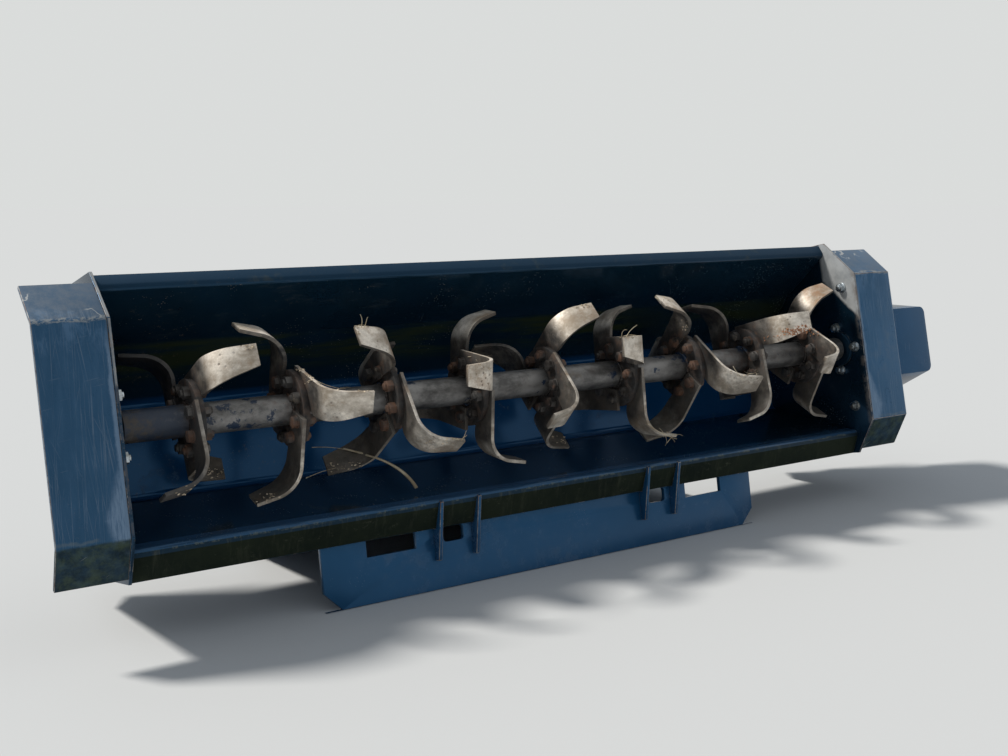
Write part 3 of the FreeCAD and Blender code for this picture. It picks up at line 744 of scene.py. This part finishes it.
tine_finish = steel.laid(0.0011, 0.55, Metallic=tine_bare)
edge_steel = worn_steel("tine_worn_edge", edge_pale, edge_dark, paint=-1.0, rust=0.5)
edge_steel.lay(edge_steel.x.rise(kept_paint_x, kept_paint_x - 0.04) * 0.75, edge_unworn)
edge_material = edge_steel.use(Base_Color=edge_steel.tone, Roughness=edge_steel.rough,
                               Metallic=edge_steel.bare * 0.5)
tines = []
for number in range(1, 10):
    blades = edged_copy("tines_" + str(number), "blades_" + str(number), tine_edge_break, tine_finish,
                        edge_material)
    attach(blades, "rotor")
    tines.append(blades)

# Tine bolts: each tine hangs on two hexagon bolts through its flange, with nuts behind. All are
# brown with rust and packed round with soil.
bolt_circle = 0.057
tine_bolt_flats = 0.021
tine_bolt_shank = 0.0135
tine_washer = 0.026
tine_thickness = 0.007
first_tine_angle = 35.6
left_flange_turn = 39.8
right_flange_turn = 49.6
bolt_angles = (43, 88)


def hexagon_bar(flats, x_low, x_high, sides=6):
    """A hexagonal or round bar along x at the origin, with both end edges broken."""
    bpy.ops.object.select_all(action="DESELECT")
    radius = flats / 2 / math.cos(math.pi / sides)
    bpy.ops.mesh.primitive_cylinder_add(vertices=sides, radius=radius, depth=x_high - x_low,
                                        location=((x_low + x_high) / 2, 0, 0), rotation=(0, math.pi / 2, 0))
    bar = bpy.context.object
    bpy.ops.object.mode_set(mode="EDIT")
    shape = bmesh.from_edit_mesh(bar.data)
    for face in shape.faces:
        face.select_set(abs(face.normal.z) > 0.9)
    bmesh.update_edit_mesh(bar.data)
    bpy.ops.mesh.inset(thickness=flats * 0.09, depth=flats * 0.05, use_individual=True)
    bpy.ops.object.mode_set(mode="OBJECT")
    bpy.ops.object.transform_apply(location=True, rotation=True, scale=True)
    return bar


def joined(pieces, name, finish):
    """Several bars made into one pattern of one finish."""
    bpy.ops.object.select_all(action="DESELECT")
    for piece in pieces:
        piece.select_set(True)
    bpy.context.view_layer.objects.active = pieces[0]
    bpy.ops.object.join()
    whole = bpy.context.object
    whole.name = name
    whole.data.materials.clear()
    whole.data.materials.append(finish)
    bpy.ops.object.shade_smooth_by_angle(angle=math.radians(32))
    return whole


bolt = worn_steel("rusty_bolt_steel", (0.11, 0.105, 0.1, 1), (0.028, 0.022, 0.019, 1), paint=-1.0, rust=0.0)
bolt_rust = bolt.noise(13, 3, 0.6).rise(0.5, 0.58) * (bolt.fine.rise(0.35, 0.6) * 0.5 + 0.35)
bolt.lay(bolt_rust, (0.125, 0.058, 0.03, 1))
bolt.rough = bolt.rough + bolt_rust * 0.2
head_start = half_flange + tine_thickness
tine_bolt = joined([
    hexagon_bar(tine_washer, head_start - 0.0004, head_start + 0.002, 20),
    hexagon_bar(tine_bolt_flats, head_start + 0.0014, head_start + 0.0105),
    hexagon_bar(tine_bolt_flats, -half_flange - 0.0125, -half_flange + 0.0004),
    hexagon_bar(tine_bolt_shank, -half_flange - 0.0175, -half_flange - 0.012, 14),
], "tine_bolt", bolt.laid(0.001, 0.6, Metallic=(bolt.bare - bolt_rust).most(0.0) * 0.7))
bolt_rng = random.Random(11)
about_face = Matrix.Rotation(math.pi, 4, "Y")
as_made = Matrix.Identity(4)
for index, x in enumerate(flange_places):
    flange_turn = left_flange_turn if index < 4 else right_flange_turn
    first_angle = first_tine_angle + flange_turn * abs(index - 4)
    hub = place(x, axis_depth, axis_run)
    moves = []
    for tine in range(4):
        for angle in bolt_angles:
            spot = hub + outward(first_angle + 90 * tine + angle) * bolt_circle
            way = as_made if tine % 2 == 0 else about_face
            moves.append(facing(spot, bolt_rng.uniform(0, 60)) @ way)
    bolts = copied(tine_bolt, "tine_bolts_" + str(index + 1), moves)
    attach(bolts, "rotor")
discard(tine_bolt)

# Housing bolts: four zinc-plated nuts round each bearing inside the end plates, and two more that
# hold the drive case on the right.
inner_wall_x = 0.94
housing_nut_flats = 0.019
housing_bolt_shank = 0.012
housing_washer = 0.026
zinc = Finish("zinc_plate", Metallic=1.0)
zinc_tone = zinc.mix(zinc.noise(45, 5, 0.65).rise(0.4, 0.65), (0.52, 0.58, 0.63, 1), (0.3, 0.31, 0.3, 1))
zinc_finish = zinc.use(Base_Color=zinc_tone, Roughness=0.24 + zinc.noise(90, 4, 0.6) * 0.25)
housing_bolt = joined([
    hexagon_bar(housing_washer, -0.0004, 0.0025, 24),
    hexagon_bar(housing_nut_flats, 0.002, 0.0125),
    hexagon_bar(housing_bolt_shank, 0.012, 0.0165, 16),
], "housing_bolt", zinc_finish)
for side, wall_x, way, spots in (
    ("left", -inner_wall_x, as_made, [(0.036, 0.246), (0.036, 0.136), (0.12, 0.246), (0.12, 0.136)]),
    ("right", inner_wall_x, about_face, [(0.078, 0.246), (0.078, 0.136), (0.133, 0.191), (0.023, 0.191),
                                         (0.0425, 0.348), (0.0454, 0.0385)]),
):
    moves = []
    for depth, run in spots:
        moves.append(facing(place(wall_x, depth, run), 17.0 * len(moves)) @ way)
    heads = copied(housing_bolt, "bearing_bolts_" + side, moves)
    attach(heads, "housing")
discard(housing_bolt)

# Debris: straw, grass stalks and crumbs of dry earth that the tines have picked up. The stalks are
# caught over the blades, and the crumbs lie along their edges and tips. All are laid on the tines
# from the view, at places given across and down it in pixels.
focal_length = 1173.2
view_middle = (504, 378)
view_turn = camera.rotation_euler.to_matrix()
tine_trees = []
for blades in tines:
    blade_shape = bmesh.new()
    blade_shape.from_mesh(blades.data)
    tine_trees.append(BVHTree.FromBMesh(blade_shape))
    blade_shape.free()


def on_tines(across, down, lift=0.0, otherwise=None):
    """The place on the tines at a pixel of the view, raised towards it in millimetres. Past their
    edge it is the place at the same distance as otherwise."""
    sight = Vector((across - view_middle[0], view_middle[1] - down, -focal_length))
    sight = (view_turn @ sight).normalized()
    hits = [tree.ray_cast(camera.location, sight) for tree in tine_trees]
    distances = [hit[3] for hit in hits if hit[0] is not None]
    if distances:
        distance = min(distances) - lift / 1000
    elif otherwise is not None:
        distance = (otherwise - camera.location).length
    else:
        return None
    return camera.location + sight * distance


def stalk(spots, thickness):
    """A stalk through five places, thinning to its end, with its thickness in millimetres."""
    bpy.ops.object.select_all(action="DESELECT")
    bpy.ops.curve.primitive_nurbs_path_add(radius=1.0, location=(0, 0, 0))
    path = bpy.context.object
    for count, point in enumerate(path.data.splines[0].points):
        point.co = (*spots[count], 1.0)
        point.radius = 1.0 - 0.13 * count
    path.data.bevel_depth = thickness / 2000
    path.data.bevel_resolution = 1
    path.data.resolution_u = 5
    path.data.use_fill_caps = True
    bpy.ops.object.convert(target="MESH")
    return bpy.context.object


stalks = []
for thickness, lift, route in (
    (7.0, 4, ((416.5, 488), (406, 470), (388, 459), (362, 453), (343.6, 448.6))),
    (4.0, 6, ((366, 455), (374, 457), (384, 460), (394, 465), (402, 472))),
    (1.8, 2, ((312, 447.5), (322, 446.5), (333, 447), (345, 449), (352, 451.5))),
    (1.8, 2, ((306, 478), (313, 475), (320, 472), (328, 469.5), (336, 468))),
    (2.0, 2, ((400, 473), (404, 480), (410, 485), (415, 483), (416.5, 474))),
    (1.8, 4, ((407, 474), (411, 481), (414, 489), (417, 492), (419.5, 487))),
    (1.6, 4, ((403, 478), (408, 476), (413, 478), (416, 484), (413, 491))),
    (1.4, 2, ((398, 477), (404, 484), (410, 487), (414, 488), (419, 486))),
    (1.3, 2, ((406, 470), (411, 471), (415, 473), (418, 477), (418, 482))),
    (2.2, 3, ((648, 424), (655, 430), (663, 435), (670, 437), (677, 439))),
    (1.8, 3, ((655, 439), (662, 434), (668, 434), (672, 437), (675, 442))),
    (1.6, 3, ((659, 428), (664, 432), (667, 438), (668, 442), (665, 446))),
    (1.6, 3, ((667, 443), (671, 437), (675, 434), (679, 433), (683, 436))),
    (1.6, 2, ((361, 328), (362, 323), (363, 320), (361.5, 317), (360, 314))),
    (1.5, 2, ((364, 328), (365, 325), (367, 322), (366, 319), (368, 317))),
    (1.4, 2, ((354, 327.5), (358, 325), (361, 324), (365, 325), (369, 327))),
    (2.0, 2, ((620, 338), (625, 335), (630, 334), (635, 335), (642, 337))),
    (1.6, 2, ((626, 337), (628, 333), (631, 329), (634, 327), (637, 325))),
    (1.4, 2, ((622, 337), (621, 333), (623, 330), (625, 329), (627, 330))),
    (1.6, 2, ((312, 378), (320, 383), (329, 387), (338, 388.5), (346, 389))),
    (1.5, 2, ((340, 388), (348, 386), (354, 388), (360, 389), (366, 387))),
    (1.6, 2, ((233, 323), (240, 325), (248, 328), (256, 332), (262, 336))),
    (1.6, 2, ((468, 357), (474, 356), (480, 358), (486, 356), (492, 355))),
    (1.6, 2, ((452, 438), (457, 440), (461, 440), (464, 438), (467, 435))),
    (1.4, 2, ((461, 441), (464, 437), (466, 434), (465, 432), (467, 430))),
    (1.5, 2, ((733, 366), (735, 370), (738, 374), (741, 376), (743, 380))),
    (1.5, 2, ((742, 370), (746, 373), (750, 375), (754, 374), (758, 371))),
    (1.4, 2, ((655, 297), (659, 300), (663, 301), (668, 304), (672, 309))),
):
    last_spot = None
    for across, down in route:
        last_spot = last_spot or on_tines(across, down, lift)
    if last_spot is None:
        continue
    spots = []
    for across, down in route:
        last_spot = on_tines(across, down, lift, last_spot)
        spots.append(last_spot)
    stalks.append(stalk(spots, thickness))
straw_dark = (0.3, 0.23, 0.14, 1)
straw_pale = (0.55, 0.47, 0.33, 1)
dry_straw = Finish("dry_straw")
straw_tone = dry_straw.mix(dry_straw.noise(35, 4, 0.6).rise(0.35, 0.65), straw_dark, straw_pale)
straw_finish = dry_straw.use(Base_Color=straw_tone, Roughness=0.6 + dry_straw.noise(60, 3, 0.5) * 0.2)
straws = joined(stalks, "straw", straw_finish)
straws.data.name = "straw"
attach(straws, "rotor")

crumb_radius = 0.001
crumb_lift = 1.0
box_margin = 0.005
bpy.ops.object.select_all(action="DESELECT")
bpy.ops.mesh.primitive_ico_sphere_add(subdivisions=1, radius=crumb_radius, location=(0, 0, 0))
crumb = bpy.context.object
crumb_rng = random.Random(3)
for vertex in crumb.data.vertices:
    vertex.co *= crumb_rng.uniform(0.5, 1.25)
for name, tone_low, tone_high, clusters in (
    ("pale_crumbs", (0.3, 0.24, 0.165, 1), (0.66, 0.55, 0.41, 1), (
        (300, 369, 4, 2, 8), (312, 376, 5, 2, 9), (325, 383, 6, 2, 10), (345, 388, 9, 2, 14),
        (363, 390, 9, 2, 12), (312, 380, 7, 4, 6), (365, 326, 11, 2, 9), (356, 332, 4, 3, 5),
        (462, 437, 6, 3, 12), (440, 441, 14, 3, 6), (668, 436, 10, 4, 16), (664, 300, 9, 4, 10),
        (684, 326, 4, 6, 7), (630, 337, 10, 2, 12), (745, 374, 14, 5, 16), (585, 306, 9, 2, 6),
        (250, 347, 8, 3, 5), (350, 467, 20, 5, 16), (268, 498, 12, 5, 10), (190, 490, 14, 5, 8),
        (216, 473, 8, 5, 10), (485, 372, 10, 12, 5), (560, 440, 8, 4, 6))),
    ("red_crumbs", (0.3, 0.13, 0.06, 1), (0.5, 0.25, 0.13, 1), (
        (796, 332, 13, 3, 40), (803, 329, 8, 4, 24), (772, 338, 9, 3, 6), (815, 332, 5, 4, 6))),
):
    moves = []
    for across, down, wide, high, count in clusters:
        for number in range(count * 2):
            pixel = (across + crumb_rng.uniform(-wide, wide), down + crumb_rng.uniform(-high, high))
            spot = on_tines(*pixel, crumb_lift)
            turn = Matrix.Rotation(crumb_rng.uniform(0, math.tau), 4, "XYZ"[crumb_rng.randrange(3)])
            grow = crumb_rng.uniform(1.3, 4.0) * crumb_rng.uniform(0.7, 1.0)
            if spot is not None and spot.y > cad_box[0][1] + box_margin:
                flattened = Matrix.Diagonal((grow, grow * 0.8, grow * 0.5, 1))
                moves.append(Matrix.Translation(spot) @ turn @ flattened)
    earth = Finish(name)
    earth_tone = earth.mix(earth.noise(50, 4, 0.6).rise(0.35, 0.65), tone_low, tone_high)
    earth_finish = earth.use(Base_Color=earth_tone, Roughness=0.85 + earth.noise(90, 3, 0.5) * 0.1,
                             Normal=earth.bump(earth.noise(300, 4, 0.6), 0.0006, 0.6))
    crumbs = copied(crumb, name, moves)
    crumbs.data.materials.clear()
    crumbs.data.materials.append(earth_finish)
    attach(crumbs, "rotor")
discard(crumb)
